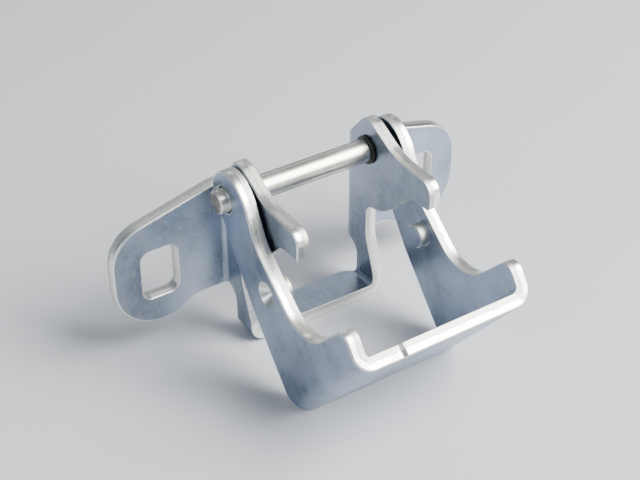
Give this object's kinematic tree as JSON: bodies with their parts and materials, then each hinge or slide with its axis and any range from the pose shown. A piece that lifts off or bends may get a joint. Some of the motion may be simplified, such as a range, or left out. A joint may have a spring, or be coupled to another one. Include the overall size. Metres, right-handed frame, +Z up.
{
  "type": "hinged mounting bracket",
  "caption": "Zinc plated sheet steel wall bracket with an upright rectangular bolt hole in each wing and a U-shaped yoke that swings on a cross pin between two stops.",
  "frame": {"origin": "on the surface that the strap stands on, under the middle of the whole object's box", "axes": "+X along the pivot pin, +Y from the yoke towards the wall side of the wings, +Z up as the bracket stands on its strap"},
  "size_m": [0.0924, 0.0616, 0.0469],
  "materials": {
    "bracket_zinc": "bright zinc plate over pressed sheet, satin, with brighter sheared edges",
    "yoke_zinc": "bright zinc plate over pressed sheet, satin, with brighter sheared edges",
    "pin_steel": "bright ground bar, fine marks around its length",
    "ring_black": "black phosphated spring steel"
  },
  "bodies": {
    "bracket": {"mounting_bracket": "bracket_zinc"},
    "yoke": {"swing_yoke": "yoke_zinc"},
    "pin": {"pivot_pin": "pin_steel", "retaining_ring_left": "ring_black", "retaining_ring_right": "ring_black"}
  },
  "joints": [
    {"name": "yoke_swing", "type": "hinge", "parent": "bracket", "child": "yoke", "pos_m": [0, 0.02077, 0.0394], "axis": [-1, 0, 0], "range_deg": [-39.5, 24]},
    {"name": "pin_spin", "type": "hinge", "parent": "bracket", "child": "pin", "pos_m": [0, 0.02077, 0.0394], "axis": [1, 0, 0], "continuous": true}
  ]
}
